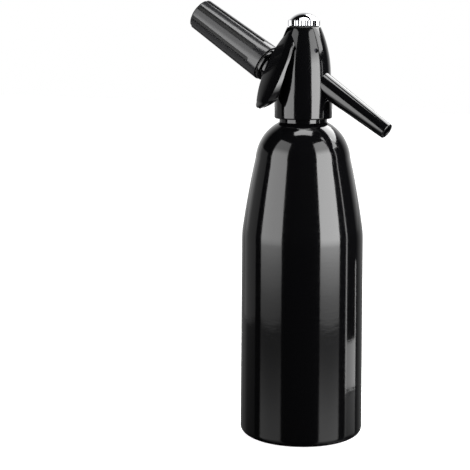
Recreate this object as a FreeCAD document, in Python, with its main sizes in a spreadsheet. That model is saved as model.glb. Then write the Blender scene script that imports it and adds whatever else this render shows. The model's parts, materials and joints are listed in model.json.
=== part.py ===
import FreeCAD, Part
import math
import os
import re
import Sketcher

# Soda siphon, one litre: a black lacquered aluminium bottle with a screw-on head.
# The head carries a lever, a spout, a charger holder and a knurled chrome cap.
# Frame: origin at the centre of the bottle's flat base, +Z up along the bottle's axis,
# +X the way the spout points. Lengths are in millimetres, angles in degrees.

os.makedirs("parts", exist_ok=True)
doc = FreeCAD.newDocument("soda_siphon")
sheet = doc.addObject("Spreadsheet::Sheet", "sizes")
workings = doc.addObject("Spreadsheet::Sheet", "workings")

SIZES = {
    # Bottle: outer shape, walls and neck
    "base_radius": 45.4,
    "foot_round": 5.0,
    "belt_radius": 44.4,
    "belt_height": 146.0,
    "belt_round": 65.0,
    "flare_radius": 43.65,
    "flare_height": 156.0,
    "flare_round": 700.0,
    "shoulder_radius": 34.4,
    "shoulder_height": 206.5,
    "dome_round": 31.5,
    "dome_top": 232.1,
    "neck_radius": 17.3,
    "neck_bore": 14.0,
    "neck_length": 14.9,
    "bottle_wall": 1.6,
    "bottle_floor": 3.0,
    # Clearances: threads are plain cylinders, sliding pieces run in their bores
    "thread_gap": 0.3,
    "running_gap": 0.08,
    "snug_gap": 0.05,
    "touch_gap": 0.1,
    # Riser tube, its holder on the bottle's rim and the measuring tube
    "riser_radius": 3.9,
    "riser_bore": 2.9,
    "riser_foot": 12.0,
    "rim_flange_radius": 16.9,
    "rim_flange_thickness": 1.5,
    "tube_hub_radius": 6.0,
    "tube_hub_height": 6.0,
    "gas_hole_radius": 1.2,
    "gas_hole_place": 11.4,
    "measuring_radius": 8.4,
    "measuring_wall": 1.2,
    "measuring_length": 42.0,
    "washer_thickness": 2.0,
    "washer_bore": 13.8,
    # Head: collar, waist and ogive
    "skirt_length": 12.2,
    "collar_radius": 20.95,
    "collar_round": 1.2,
    "collar_rise": 0.5,
    "ogive_radius": 19.7,
    "waist_length": 17.0,
    "ogive_round": 83.0,
    "crown_radius": 12.1,
    "crown_rise": 16.4,
    # Tap valve on the bottle's axis, inside the head
    "valve_radius": 9.0,
    "valve_length": 21.5,
    "valve_drop": 1.4,
    "plug_height": 5.0,
    "plug_ledge": 1.0,
    "chamber_radius": 6.2,
    "chamber_height": 7.0,
    "seat_radius": 3.4,
    "seat_height": 2.5,
    "guide_height": 3.0,
    "stem_radius": 2.0,
    "poppet_radius": 5.2,
    "poppet_height": 1.5,
    "poppet_seal": 1.4,
    "button_radius": 7.6,
    "button_height": 2.2,
    "button_hub_radius": 3.5,
    "button_hub_height": 1.4,
    "button_room": 1.5,
    "spring_wire": 0.7,
    "spring_radius": 4.9,
    # Seal rings of round section: radius of the rubber
    "ring_thick": 0.9,
    "spout_ring_thick": 0.5,
    "spout_ring_place": 15.9,
    # Lever: pivot, hub and cam, seen from the side with the pivot at its own height
    "lever_turn_angle": -120.0,
    "lever_travel_angle": 6.0,
    "pivot_rise": 15.8,
    "pin_radius": 1.5,
    "pin_half": 16.1,
    "hub_radius": 5.2,
    "hub_half": 4.0,
    "slot_gap": 0.4,
    "slot_drop": 10.4,
    "slot_rise": 9.6,
    "cam_radius": 2.1,
    "cam_out": 6.5,
    # Lever: paddle, from its top under the cap to its lower corner, each place by its
    # distance out from the bottle's axis and its rise or drop from the pivot
    "paddle_rise": 16.2,
    "paddle_top_out": 8.9,
    "brow_rise": 11.2,
    "brow_out": 12.9,
    "brow_round": 9.0,
    "face_round": 420.0,
    "chin_drop": 36.6,
    "chin_out": 35.0,
    "tip_drop": 40.4,
    "tip_out": 38.3,
    "heel_drop": 34.6,
    "heel_out": 26.4,
    "shin_drop": 24.3,
    "shin_out": 25.2,
    "knee_drop": 11.3,
    "knee_out": 21.3,
    "nape_rise": 9.7,
    "nape_out": 10.2,
    "paddle_skin": 2.2,
    # Lever: leaf outline, seen square on
    "leaf_half": 13.6,
    "leaf_drop": 14.8,
    "leaf_upper_round": 33.7,
    "leaf_lower_round": 47.7,
    "leaf_brow_half": 5.0,
    "leaf_brow_round": 6.0,
    "leaf_chin_half": 8.6,
    "leaf_chin_drop": 35.6,
    "leaf_chin_round": 16.0,
    # Spout: its axis leaves the bottle's axis at spout_height and droops
    "spout_rise": 19.5,
    "spout_droop_angle": 32.0,
    "spout_length": 79.8,
    "spout_root": 17.5,
    "spout_root_radius": 8.15,
    "spout_tip_radius": 5.7,
    "spout_tip_round": 0.7,
    "spout_bore": 3.7,
    "spout_chamfer": 0.5,
    "spigot_radius": 5.2,
    "spigot_start": 14.2,
    "spout_port": 2.4,
    # Charger holder: its axis leaves the bottle's axis at holder_height and rises
    "holder_lift": 3.6,
    "holder_rise_angle": 31.5,
    "boss_start": 11.0,
    "boss_radius": 10.4,
    "collar_start": 33.6,
    "boss_collar_radius": 12.6,
    "boss_end": 35.7,
    "nose_radius": 10.6,
    "nose_length": 7.8,
    "socket_radius": 5.4,
    "socket_floor": 32.0,
    "holder_ring_thickness": 0.8,
    "holder_ring_radius": 12.4,
    "holder_length": 68.6,
    "holder_mouth_radius": 13.5,
    "holder_tip_radius": 12.0,
    "holder_edge": 1.4,
    "holder_crown": 1.0,
    "holder_bore": 9.7,
    "holder_floor": 3.0,
    "groove_count": 8,
    "groove_half": 1.6,
    "groove_depth": 1.0,
    "groove_start": 9.0,
    "groove_turn_angle": -8.7,
    # Charger, a steel bulb of the usual eight grams
    "charger_radius": 9.3,
    "charger_length": 65.5,
    "charger_round": 6.5,
    "charger_neck_radius": 4.4,
    "charger_neck_length": 9.0,
    "charger_shoulder": 9.0,
    "charger_wall": 1.3,
    "pierced_radius": 1.2,
    # Piercing block with its hollow needle and check valve
    "block_radius": 5.0,
    "block_length": 12.0,
    "needle_radius": 1.0,
    "needle_bore": 0.45,
    "needle_reach": 2.9,
    "needle_root": 3.5,
    "charger_seal_thickness": 1.5,
    "charger_seal_bore": 1.6,
    "check_chamber": 2.4,
    "check_chamber_length": 7.0,
    "check_wall": 1.0,
    "ball_radius": 1.9,
    "check_spring_wire": 0.4,
    "ball_travel": 0.6,
    # Knurled cap on the crown
    "cap_radius": 11.45,
    "cap_washer_radius": 10.6,
    "cap_washer_thickness": 0.7,
    "cap_band": 4.3,
    "cap_dome": 5.2,
    "cap_shoulder": 0.9,
    "cap_wall": 1.4,
    "shank_radius": 5.9,
    "shank_length": 6.2,
    "shank_bore": 3.6,
    "flute_count": 40,
    "flute_radius": 0.55,
}

DERIVED = {
    "neck_top": "dome_top + neck_length",
    "flange_top": "neck_top + rim_flange_thickness",
    "washer_top": "flange_top + washer_thickness",
    "collar_bottom": "neck_top - skirt_length",
    "collar_top": "washer_top + collar_rise",
    "ogive_height": "collar_top + waist_length",
    "pivot_height": "ogive_height + pivot_rise",
    "crown_height": "pivot_height + crown_rise",
    "valve_top": "washer_top + valve_length",
    "slot_bottom": "pivot_height - slot_drop",
    "slot_top": "pivot_height + slot_rise",
    "paddle_top": "pivot_height + paddle_rise",
    "brow_height": "pivot_height + brow_rise",
    "nape_height": "pivot_height + nape_rise",
    "knee_height": "pivot_height - knee_drop",
    "leaf_height": "pivot_height - leaf_drop",
    "shin_height": "pivot_height - shin_drop",
    "heel_height": "pivot_height - heel_drop",
    "leaf_chin_height": "pivot_height - leaf_chin_drop",
    "chin_height": "pivot_height - chin_drop",
    "tip_height": "pivot_height - tip_drop",
    "spout_height": "collar_top + spout_rise",
    "holder_height": "collar_top + holder_lift",
    "skirt_bore": "neck_radius + thread_gap",
    "plug_bottom": "washer_top - valve_drop",
    "plug_top": "plug_bottom + plug_height",
    "riser_top": "plug_top - plug_ledge - touch_gap",
    "seat_bottom": "plug_top + chamber_height",
    "seat_top": "seat_bottom + seat_height",
    "guide_bottom": "valve_top - guide_height",
    "poppet_top": "seat_bottom - touch_gap - poppet_seal",
    "poppet_bottom": "poppet_top - poppet_height",
    "button_top": "valve_top + button_room + button_hub_height + button_height",
    "button_bottom": "button_top - button_height",
    "hub_bottom": "button_bottom - button_hub_height",
    "stem_top": "button_top - button_height / 3",
    "button_well": "button_radius + thread_gap + thread_gap",
    "cam_height": "button_top + touch_gap + cam_radius",
    "pressed_knee_out": "knee_out * cos(lever_travel_angle) - knee_drop * sin(lever_travel_angle)",
    "pressed_knee_drop": "knee_drop * cos(lever_travel_angle) + knee_out * sin(lever_travel_angle)",
    "pressed_knee_height": "pivot_height - pressed_knee_drop",
    "gas_drill_rise": "gas_hole_place * tan(holder_rise_angle)",
    "gas_drill_length": "gas_drill_rise + holder_height - washer_top + touch_gap",
    "cap_base": "crown_height + cap_washer_thickness",
    "band_top": "cap_base + cap_band",
    "cap_top": "band_top + cap_dome",
    "cap_dome_radius": "cap_radius - cap_shoulder",
    "cap_dome_round": "(cap_dome_radius * cap_dome_radius + cap_dome * cap_dome) / (2 * cap_dome)",
    "shank_bottom": "cap_base - shank_length",
    "shank_hole": "shank_radius + thread_gap / 2",
    "holder_mouth": "boss_end + holder_ring_thickness",
    "holder_end": "holder_mouth + holder_length",
    "nose_end": "boss_end + nose_length",
    "mouth_bore": "nose_radius + thread_gap",
    "mouth_end": "nose_end + thread_gap + thread_gap",
    "bore_end": "holder_end - holder_floor",
    "charger_tip": "socket_floor + charger_seal_thickness",
    "charger_end": "charger_tip + charger_length",
    "charger_neck_end": "charger_tip + charger_neck_length",
    "charger_body": "charger_neck_end + charger_shoulder",
    "pad_radius": "holder_bore - thread_gap",
    "block_start": "socket_floor - block_length",
    "check_start": "block_start + check_wall",
    "check_end": "check_start + check_chamber_length",
    "needle_start": "socket_floor - needle_root",
    "needle_tip": "charger_tip + needle_reach - charger_seal_thickness",
    "ball_place": "check_end - ball_radius - touch_gap",
}


def write_sizes():
    row = 0
    for name, entry in list(SIZES.items()) + [(key, "=" + text) for key, text in DERIVED.items()]:
        row += 1
        sheet.set(f"A{row}", name)
        sheet.set(f"B{row}", str(entry))
        sheet.setAlias(f"B{row}", name)
    doc.recompute()


def number(formula):
    """Works a formula of named sizes out, in a sheet of its own that nothing follows."""
    workings.set("A1", "=" + bound(formula))
    workings.recompute()
    return float(workings.get("A1"))


def bound(formula):
    """The same formula, as an expression that other objects can follow."""
    names = set(SIZES) | set(DERIVED)
    return re.sub(r"[a-z_]+", lambda word: "sizes." + word[0] if word[0] in names else word[0], formula)


def origin_plane(body, role):
    return [item for item in body.Origin.OriginFeatures if item.Role == role][0]


def arc_between(start, end, radius, side):
    """The short arc between two corners that bulges to the left (side 1) or the right (side -1).
    It always runs anticlockwise, as a sketch keeps its arcs."""
    chord = end - start
    half = chord.Length / 2
    rise = radius - math.sqrt(radius * radius - half * half)
    left = FreeCAD.Vector(-chord.y, chord.x, 0).normalize()
    middle = (start + end) * 0.5 + left * (rise * side)
    if side == 1:
        return Part.Arc(end, middle, start)
    return Part.Arc(start, middle, end)


def draw_outline(body, corners, role="XZ_Plane", name="_outline"):
    """A closed outline in a sketch. Each corner is (across, up), or (across, up, radius, side)
    where the edge to the next corner is an arc. All four are formulas of named sizes but side."""
    sketch = body.newObject("Sketcher::SketchObject", body.Name + name)
    sketch.AttachmentSupport = (origin_plane(body, role), [""])
    sketch.MapMode = "FlatFace"
    spots = [FreeCAD.Vector(number(corner[0]), number(corner[1]), 0) for corner in corners]
    starts = []
    for index, corner in enumerate(corners):
        here = spots[index]
        there = spots[(index + 1) % len(spots)]
        if len(corner) == 4:
            edge = arc_between(here, there, number(corner[2]), corner[3])
        else:
            edge = Part.LineSegment(here, there)
        sketch.addGeometry(edge)
        starts.append(1 if (sketch.Geometry[index].StartPoint - here).Length < 1e-4 else 2)
    ties = []
    for index, corner in enumerate(corners):
        after = (index + 1) % len(corners)
        ties.append((Sketcher.Constraint("Coincident", index, 3 - starts[index], after, starts[after]), None))
        ties += corner_ties(index, starts[index], corner, spots[index])
        if len(corner) == 4:
            ties.append((Sketcher.Constraint("Radius", index, number(corner[2])), corner[2]))
    sketch.addConstraint([tie for tie, formula in ties])
    for place, (tie, formula) in enumerate(ties):
        if formula is not None:
            sketch.setExpression(f"Constraints[{place}]", bound(formula))
    return sketch


def corner_ties(index, end, corner, spot):
    """Holds one corner of an outline at its two formulas, measured from the origin."""
    ties = []
    for kind, level, formula, length in (("DistanceX", "Vertical", corner[0], spot.x),
                                         ("DistanceY", "Horizontal", corner[1], spot.y)):
        if formula == "0":
            ties.append((Sketcher.Constraint(level, -1, 1, index, end), None))
        else:
            ties.append((Sketcher.Constraint(kind, -1, 1, index, end, length), formula))
    return ties


def turned(label, corners, frame=None):
    """A body turned about its own Z axis from an outline of (radius, height) corners."""
    body = doc.addObject("PartDesign::Body", label)
    body.Label = label
    sketch = draw_outline(body, corners)
    turn = body.newObject("PartDesign::Revolution", label + "_turn")
    turn.Profile = sketch
    turn.ReferenceAxis = (sketch, ["V_Axis"])
    turn.Angle = 360
    body.Tip = turn
    if frame is not None:
        body.Placement = frame
    doc.recompute()
    return body


def hollowed(body, corners):
    """Turns a cavity out of a turned body, from an outline of (radius, height) corners."""
    sketch = draw_outline(body, corners, name="_cavity")
    groove = body.newObject("PartDesign::Groove", body.Name + "_groove")
    groove.Profile = sketch
    groove.ReferenceAxis = (sketch, ["V_Axis"])
    groove.Angle = 360
    before = body.Shape.Volume
    body.Tip = groove
    doc.recompute()
    if body.Shape.Volume >= before:
        raise RuntimeError(f"the cavity of {body.Label} cuts nothing")
    return body


def sleeve(label, outer, inner, bottom, top, frame=None):
    """A plain ring or tube."""
    corners = [(inner, bottom), (outer, bottom), (outer, top), (inner, top)]
    return turned(label, corners, frame)


def slab(label, corners, half_width, frame=None, role="XZ_Plane"):
    """A body of one outline, padded the same way to both sides of its plane."""
    body = doc.addObject("PartDesign::Body", label)
    body.Label = label
    sketch = draw_outline(body, corners, role)
    pad = body.newObject("PartDesign::Pad", label + "_pad")
    pad.Profile = sketch
    pad.SideType = "Symmetric"
    pad.setExpression("Length", "2 * (" + bound(half_width) + ")")
    body.Tip = pad
    if frame is not None:
        body.Placement = frame
    doc.recompute()
    return body


def seal_ring(label, middle, height, thick, frame=None):
    """A rubber ring of round section, round the axis of its frame."""
    ring = doc.addObject("Part::Torus", label)
    ring.Label = label
    ring.setExpression("Radius1", bound(middle))
    ring.setExpression("Radius2", bound(thick))
    lift = FreeCAD.Placement(FreeCAD.Vector(0, 0, number(height)), FreeCAD.Rotation())
    ring.Placement = lift if frame is None else frame.multiply(lift)
    return ring


def crossbar(label, radius, half_length, out, height):
    """A cylinder along the lever's pivot axis, at a place beside the bottle's axis."""
    bar = doc.addObject("Part::Cylinder", label)
    bar.Label = label
    bar.setExpression("Radius", bound(radius))
    bar.setExpression("Height", "2 * (" + bound(half_length) + ")")
    corner = FreeCAD.Vector(number(out), -number(half_length), number(height))
    bar.Placement = lever_frame.multiply(FreeCAD.Placement(corner, FreeCAD.Rotation(X_AXIS, -90)))
    return bar


def joined(label, pieces):
    whole = doc.addObject("Part::MultiFuse", label)
    whole.Label = label
    whole.Shapes = pieces
    return whole


def cut_away(label, base, tool):
    rest = doc.addObject("Part::Cut", label)
    rest.Label = label
    rest.Base = base
    rest.Tool = tool
    return rest


def shared(label, one, other):
    both = doc.addObject("Part::MultiCommon", label)
    both.Label = label
    both.Shapes = [one, other]
    return both


write_sizes()

X_AXIS = FreeCAD.Vector(1, 0, 0)
Y_AXIS = FreeCAD.Vector(0, 1, 0)
Z_AXIS = FreeCAD.Vector(0, 0, 1)
lever_frame = FreeCAD.Placement(FreeCAD.Vector(), FreeCAD.Rotation(Z_AXIS, number("lever_turn_angle")))
spout_frame = FreeCAD.Placement(FreeCAD.Vector(0, 0, number("spout_height")),
                                FreeCAD.Rotation(Y_AXIS, 90 + number("spout_droop_angle")))
holder_frame = FreeCAD.Placement(FreeCAD.Vector(0, 0, number("holder_height")),
                                 FreeCAD.Rotation(Y_AXIS, number("holder_rise_angle") - 90))


def make_bottle():
    """The bottle, turned outside and hollow, with a plain cylinder for its screw neck."""
    bottle = turned("bottle", [
        ("0", "0"),
        ("base_radius - foot_round", "0", "foot_round", -1),
        ("base_radius", "foot_round"),
        ("belt_radius", "belt_height", "belt_round", -1),
        ("flare_radius", "flare_height", "flare_round", -1),
        ("shoulder_radius", "shoulder_height", "dome_round", -1),
        ("neck_radius", "dome_top"),
        ("neck_radius", "neck_top"),
        ("0", "neck_top"),
    ])
    return hollowed(bottle, [
        ("0", "bottle_floor"),
        ("base_radius - foot_round", "bottle_floor"),
        ("base_radius - bottle_wall", "foot_round"),
        ("belt_radius - bottle_wall", "belt_height"),
        ("flare_radius - bottle_wall", "flare_height"),
        ("shoulder_radius - bottle_wall", "shoulder_height", "dome_round - bottle_wall", -1),
        ("neck_bore", "dome_top - bottle_wall"),
        ("neck_bore", "neck_top + bottle_wall"),
        ("0", "neck_top + bottle_wall"),
    ])


def make_dip_tube():
    """The riser tube, held in the bottle's mouth by a flange with gas holes."""
    riser = sleeve("riser_tube", "riser_radius", "riser_bore", "riser_foot", "riser_top")
    disc = turned("flange_disc", [
        ("riser_radius + snug_gap", "neck_top - tube_hub_height"),
        ("tube_hub_radius", "neck_top - tube_hub_height"),
        ("tube_hub_radius", "neck_top"),
        ("rim_flange_radius", "neck_top"),
        ("rim_flange_radius", "flange_top"),
        ("washer_bore - thread_gap", "flange_top"),
        ("washer_bore - thread_gap", "plug_bottom - touch_gap"),
        ("riser_radius + snug_gap", "plug_bottom - touch_gap"),
    ])
    holes = []
    for index in range(4):
        hole = doc.addObject("Part::Cylinder", f"gas_hole_{index}")
        hole.setExpression("Radius", bound("gas_hole_radius"))
        hole.setExpression("Height", bound("2 * rim_flange_thickness + tube_hub_height"))
        turn = FreeCAD.Rotation(Z_AXIS, 90 * index)
        start = number("neck_top - rim_flange_thickness")
        place = turn.multVec(FreeCAD.Vector(number("gas_hole_place"), 0, start))
        hole.Placement = FreeCAD.Placement(place, turn)
        holes.append(hole)
    holder = cut_away("tube_holder", disc, joined("gas_holes", holes))
    measuring = sleeve("measuring_tube", "measuring_radius", "measuring_radius - measuring_wall",
                       "neck_top - measuring_length", "neck_top")
    return [riser, holder, measuring]


def make_head():
    """The head casting: turned outside, with a boss for the charger holder and its bores."""
    ogive = turned("head_ogive", [
        ("0", "collar_bottom"),
        ("collar_radius - collar_round", "collar_bottom", "collar_round", -1),
        ("collar_radius", "collar_bottom + collar_round"),
        ("collar_radius", "collar_top"),
        ("ogive_radius", "ogive_height", "ogive_round", -1),
        ("crown_radius", "crown_height"),
        ("0", "crown_height"),
    ])
    boss = turned("head_boss", [
        ("0", "boss_start"),
        ("boss_radius", "boss_start"),
        ("boss_radius", "collar_start"),
        ("boss_collar_radius", "collar_start"),
        ("boss_collar_radius", "boss_end"),
        ("nose_radius", "boss_end"),
        ("nose_radius", "nose_end"),
        ("0", "nose_end"),
    ], holder_frame)
    axial = turned("axial_bores", [
        ("0", "collar_bottom - thread_gap"),
        ("skirt_bore", "collar_bottom - thread_gap"),
        ("skirt_bore", "washer_top"),
        ("valve_radius", "washer_top"),
        ("valve_radius", "valve_top"),
        ("button_well", "valve_top"),
        ("button_well", "button_top + cam_radius"),
        ("0", "button_top + cam_radius"),
    ])
    crown_bore = turned("crown_bore", [
        ("0", "shank_bottom - thread_gap"),
        ("shank_hole", "shank_bottom - thread_gap"),
        ("shank_hole", "crown_height + thread_gap"),
        ("0", "crown_height + thread_gap"),
    ])
    spout_bores = turned("spout_bores", [
        ("0", "0"),
        ("spout_port", "0"),
        ("spout_port", "spigot_start - touch_gap"),
        ("spigot_radius", "spigot_start - touch_gap"),
        ("spigot_radius", "spout_root"),
        ("spout_root_radius", "spout_root"),
        ("spout_root_radius", "spout_root + collar_radius"),
        ("0", "spout_root + collar_radius"),
    ], spout_frame)
    holder_bores = turned("holder_bores", [
        ("0", "boss_start"),
        ("gas_hole_radius", "boss_start"),
        ("gas_hole_radius", "block_start"),
        ("block_radius", "block_start"),
        ("block_radius", "socket_floor"),
        ("socket_radius", "socket_floor"),
        ("socket_radius", "nose_end + thread_gap"),
        ("0", "nose_end + thread_gap"),
    ], holder_frame)
    gas_drill = doc.addObject("Part::Cylinder", "gas_drill")
    gas_drill.setExpression("Radius", bound("gas_hole_radius"))
    gas_drill.setExpression("Height", bound("gas_drill_length"))
    gas_drill.Placement.Base = FreeCAD.Vector(-number("gas_hole_place"), 0, number("washer_top - touch_gap"))
    pin_bore = crossbar("pin_bore", "pin_radius + running_gap", "collar_radius", "0", "pivot_height")
    slot = slab("lever_slot", [
        ("0", "slot_bottom"),
        ("collar_radius * 1.5", "slot_bottom"),
        ("collar_radius * 1.5", "slot_top"),
        ("0", "slot_top"),
    ], "hub_half + slot_gap", lever_frame)
    slot_end = crossbar("slot_end", "hub_radius + slot_gap", "hub_half + slot_gap", "0", "pivot_height")
    recess = shared("lever_recess", slab("recess_side", [
        ("paddle_top_out - slot_gap - slot_gap", "crown_height + slot_gap"),
        ("nape_out - paddle_skin", "nape_height"),
        ("nape_out + slot_gap", "nape_height - paddle_skin"),
        ("pressed_knee_out - slot_gap", "pressed_knee_height"),
        ("pressed_knee_out - slot_gap", "pressed_knee_height - slot_gap"),
        ("collar_radius * 1.5", "pressed_knee_height - slot_gap"),
        ("collar_radius * 1.5", "crown_height + slot_gap"),
    ], "collar_radius", lever_frame), leaf("recess_leaf", "slot_gap"))
    tools = joined("head_tools", [axial, crown_bore, spout_bores, holder_bores, gas_drill, pin_bore,
                                  slot, slot_end, recess])
    return cut_away("head_body", joined("head_blank", [ogive, boss]), tools)


def leaf(label, grow):
    """The lever's leaf outline as a thick slab across the lever, grown on all sides."""
    return slab(label, [
        ("0", f"tip_height - ({grow})", f"leaf_chin_round + ({grow})", -1),
        (f"leaf_chin_half + ({grow})", "leaf_chin_height", f"leaf_lower_round + ({grow})", -1),
        (f"leaf_half + ({grow})", "leaf_height", f"leaf_upper_round + ({grow})", -1),
        (f"leaf_brow_half + ({grow})", "brow_height", f"leaf_brow_round + ({grow})", -1),
        ("0", f"paddle_top + ({grow})", f"leaf_brow_round + ({grow})", -1),
        (f"-leaf_brow_half - ({grow})", "brow_height", f"leaf_upper_round + ({grow})", -1),
        (f"-leaf_half - ({grow})", "leaf_height", f"leaf_lower_round + ({grow})", -1),
        (f"-leaf_chin_half - ({grow})", "leaf_chin_height", f"leaf_chin_round + ({grow})", -1),
    ], "tip_out * 2", lever_frame, "YZ_Plane")


def make_lever():
    """A hollow leaf-shaped paddle, with a hub on the pivot and a cam nose over the valve button."""
    side = slab("paddle_side", [
        ("paddle_top_out", "paddle_top", "brow_round", 1),
        ("brow_out", "brow_height", "face_round", 1),
        ("chin_out", "chin_height"),
        ("tip_out", "tip_height"),
        ("heel_out", "heel_height"),
        ("shin_out", "shin_height"),
        ("knee_out", "knee_height"),
        ("nape_out", "nape_height"),
    ], "leaf_half * 2", lever_frame)
    hollow = slab("paddle_hollow", [
        ("brow_out - paddle_skin", "brow_height - paddle_skin"),
        ("(brow_out + chin_out) / 2 - paddle_skin", "(brow_height + chin_height) / 2"),
        ("chin_out - paddle_skin", "chin_height + paddle_skin"),
        ("hub_radius", "heel_height + paddle_skin"),
        ("hub_radius", "brow_height - paddle_skin"),
    ], "leaf_half * 2", lever_frame)
    paddle = cut_away("paddle", shared("paddle_blank", side, leaf("paddle_leaf", "0")),
                      shared("paddle_room", hollow, leaf("room_leaf", "-paddle_skin * 0.8")))
    web = slab("lever_web", [
        ("0", "pivot_height + hub_radius"),
        ("brow_out - slot_gap", "slot_top - slot_gap"),
        ("brow_out + paddle_skin * 1.9", "pivot_height"),
        ("brow_out + hub_radius + paddle_skin * 0.8", "pivot_height - hub_radius"),
        ("cam_out + cam_radius", "pivot_height - hub_radius * 0.8"),
        ("0", "pivot_height - hub_radius * 0.8"),
    ], "hub_half", lever_frame)
    hub = crossbar("lever_hub", "hub_radius", "hub_half", "0", "pivot_height")
    cam = crossbar("lever_cam", "cam_radius", "hub_half", "cam_out", "cam_height")
    bore = crossbar("lever_bore", "pin_radius + running_gap", "leaf_half", "0", "pivot_height")
    lever = cut_away("lever", joined("lever_blank", [paddle, web, hub, cam]), bore)
    pin = crossbar("lever_pin", "pin_radius", "pin_half", "0", "pivot_height")
    return [lever, pin]


def make_valve():
    """The tap valve: a brass body and plug, a spring-loaded stem with its seal, and a button."""
    plug = turned("valve_plug", [
        ("riser_radius + thread_gap", "plug_bottom"),
        ("valve_radius", "plug_bottom"),
        ("valve_radius", "plug_top"),
        ("riser_bore", "plug_top"),
        ("riser_bore", "plug_top - plug_ledge"),
        ("riser_radius + thread_gap", "plug_top - plug_ledge"),
    ])
    shell = turned("valve_shell", [
        ("chamber_radius", "plug_top"),
        ("valve_radius", "plug_top"),
        ("valve_radius", "valve_top"),
        ("stem_radius + running_gap", "valve_top"),
        ("stem_radius + running_gap", "guide_bottom + 2 * ring_thick"),
        ("stem_radius + 2 * ring_thick + snug_gap", "guide_bottom + 2 * ring_thick"),
        ("stem_radius + 2 * ring_thick + snug_gap", "guide_bottom"),
        ("chamber_radius", "guide_bottom"),
        ("chamber_radius", "seat_top"),
        ("seat_radius", "seat_top"),
        ("seat_radius", "seat_bottom"),
        ("chamber_radius", "seat_bottom"),
    ])
    port = turned("valve_port", [
        ("0", "0"),
        ("spout_port", "0"),
        ("spout_port", "spigot_start"),
        ("0", "spigot_start"),
    ], spout_frame)
    keep = turned("port_limit", [
        ("0", "seat_top"),
        ("valve_radius * 2", "seat_top"),
        ("valve_radius * 2", "guide_bottom"),
        ("0", "guide_bottom"),
    ])
    body = cut_away("valve_body", shell, shared("port_drill", port, keep))
    stem = turned("valve_stem", [
        ("0", "poppet_bottom"),
        ("poppet_radius", "poppet_bottom"),
        ("poppet_radius", "poppet_top"),
        ("stem_radius", "poppet_top"),
        ("stem_radius", "stem_top"),
        ("0", "stem_top"),
    ])
    seal = sleeve("valve_seal", "poppet_radius", "stem_radius", "poppet_top", "poppet_top + poppet_seal")
    button = turned("valve_button", [
        ("stem_radius", "hub_bottom"),
        ("button_hub_radius", "hub_bottom"),
        ("button_hub_radius", "button_bottom"),
        ("button_radius", "button_bottom"),
        ("button_radius", "button_top"),
        ("0", "button_top"),
        ("0", "stem_top"),
        ("stem_radius", "stem_top"),
    ])
    spring = sleeve("valve_spring", "spring_radius", "spring_radius - spring_wire", "plug_top",
                    "poppet_bottom - touch_gap")
    stem_ring = seal_ring("stem_ring", "stem_radius + ring_thick + snug_gap / 2", "guide_bottom + ring_thick",
                          "ring_thick")
    return [plug, body, stem, seal, button, spring, stem_ring]


def make_spout():
    """The tapered spout on its spigot, with a sealing ring in the spigot's groove."""
    spout = turned("spout_tube", [
        ("spout_bore", "spigot_start"),
        ("spigot_radius - snug_gap", "spigot_start"),
        ("spigot_radius - snug_gap", "spout_ring_place - spout_ring_thick - snug_gap"),
        ("spigot_radius - 2 * spout_ring_thick - snug_gap", "spout_ring_place - spout_ring_thick - snug_gap"),
        ("spigot_radius - 2 * spout_ring_thick - snug_gap", "spout_ring_place + spout_ring_thick + snug_gap"),
        ("spigot_radius - snug_gap", "spout_ring_place + spout_ring_thick + snug_gap"),
        ("spigot_radius - snug_gap", "spout_root"),
        ("spout_root_radius - snug_gap", "spout_root"),
        ("spout_tip_radius", "spout_length - spout_tip_round", "spout_tip_round", -1),
        ("spout_tip_radius - spout_tip_round", "spout_length"),
        ("spout_bore + spout_chamfer", "spout_length"),
        ("spout_bore", "spout_length - spout_chamfer"),
    ], spout_frame)
    ring = seal_ring("spout_ring", "spigot_radius - spout_ring_thick - snug_gap / 2", "spout_ring_place",
                     "spout_ring_thick", spout_frame)
    return [spout, ring]


def make_holder():
    """The charger holder: a slightly tapered cap with a domed end and long grooves."""
    body = turned("holder_blank", [
        ("mouth_bore", "holder_mouth"),
        ("holder_mouth_radius", "holder_mouth"),
        ("holder_tip_radius", "holder_end - holder_edge", "holder_edge", -1),
        ("holder_tip_radius - holder_edge", "holder_end"),
        ("0", "holder_end + holder_crown"),
        ("0", "bore_end"),
        ("holder_bore", "bore_end"),
        ("holder_bore", "mouth_end + thread_gap + thread_gap"),
        ("mouth_bore", "mouth_end"),
    ], holder_frame)
    grooves = [make_groove(index) for index in range(int(number("groove_count")))]
    return cut_away("charger_holder", body, joined("holder_grooves", grooves))


def make_groove(index):
    """One groove's cutter: a bar with a round end, tilted to follow the holder's taper."""
    bar = doc.addObject("Part::Box", f"groove_bar_{index}")
    bar.setExpression("Length", bound("holder_mouth_radius"))
    bar.setExpression("Width", bound("2 * groove_half"))
    bar.setExpression("Height", bound("holder_length"))
    end = doc.addObject("Part::Cylinder", f"groove_end_{index}")
    end.setExpression("Radius", bound("groove_half"))
    end.setExpression("Height", bound("holder_mouth_radius"))
    slope = number("(holder_mouth_radius - holder_tip_radius) / (holder_length - holder_edge)")
    taper = math.degrees(math.atan(slope))
    foot = FreeCAD.Vector(number("holder_mouth_radius - groove_depth"), 0, number("holder_mouth"))
    turn = number("groove_turn_angle") + 360 * index / number("groove_count")
    about = FreeCAD.Placement(FreeCAD.Vector(), FreeCAD.Rotation(Z_AXIS, turn))
    tilt = FreeCAD.Placement(foot, FreeCAD.Rotation(Y_AXIS, -taper))
    frame = holder_frame.multiply(about).multiply(tilt)
    corner = FreeCAD.Vector(0, -number("groove_half"), number("groove_start + groove_half"))
    bar.Placement = frame.multiply(FreeCAD.Placement(corner, FreeCAD.Rotation()))
    middle = FreeCAD.Vector(0, 0, number("groove_start + groove_half"))
    end.Placement = frame.multiply(FreeCAD.Placement(middle, FreeCAD.Rotation(Y_AXIS, 90)))
    return joined(f"groove_{index}", [bar, end])


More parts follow.
